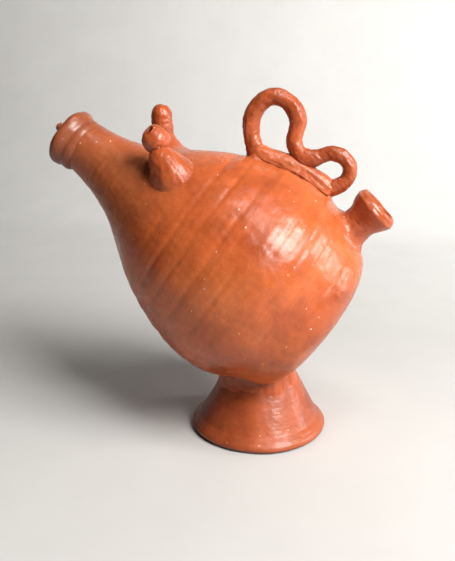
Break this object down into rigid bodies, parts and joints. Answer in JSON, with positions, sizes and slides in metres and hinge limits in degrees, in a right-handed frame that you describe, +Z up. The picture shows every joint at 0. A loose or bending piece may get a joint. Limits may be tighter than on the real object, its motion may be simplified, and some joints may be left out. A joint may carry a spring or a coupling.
{
  "type": "animal-shaped clay water jug",
  "caption": "Free-standing fired clay jug: tilted thrown body on a flared hollow foot, tapering neck with rolled collar, horn spouts, coiled handle and trumpet filler.",
  "frame": {"origin": "centre of the foot's resting ring, on the ground plane", "axes": "+Z up; the neck points to -X and the filler to +X; the axes of body, neck and foot lie in the XZ plane; +Y is the side away from the viewer"},
  "size_m": [0.3071, 0.1956, 0.3074],
  "materials": {
    "terracotta": "burnished, half gloss",
    "terracotta_brown": "burnished, browner from handling",
    "terracotta_slip": "smoothed slip, half gloss"
  },
  "bodies": {
    "root": {"body_shell": "terracotta", "neck": "terracotta", "mouth_disc": "terracotta_brown", "mouth_nipple": "terracotta_brown", "neck_collar": "terracotta_brown", "foot_pedestal": "terracotta", "foot_luting": "terracotta_slip", "filler_trumpet": "terracotta", "filler_luting": "terracotta_slip", "near_horn_boss": "terracotta", "near_horn_head": "terracotta", "far_horn_boss": "terracotta", "far_horn_post": "terracotta", "handle_large_loop": "terracotta", "handle_small_loop": "terracotta", "handle_base_strip": "terracotta", "handle_front_luting": "terracotta_slip", "handle_rear_luting": "terracotta_slip"}
  },
  "joints": []
}
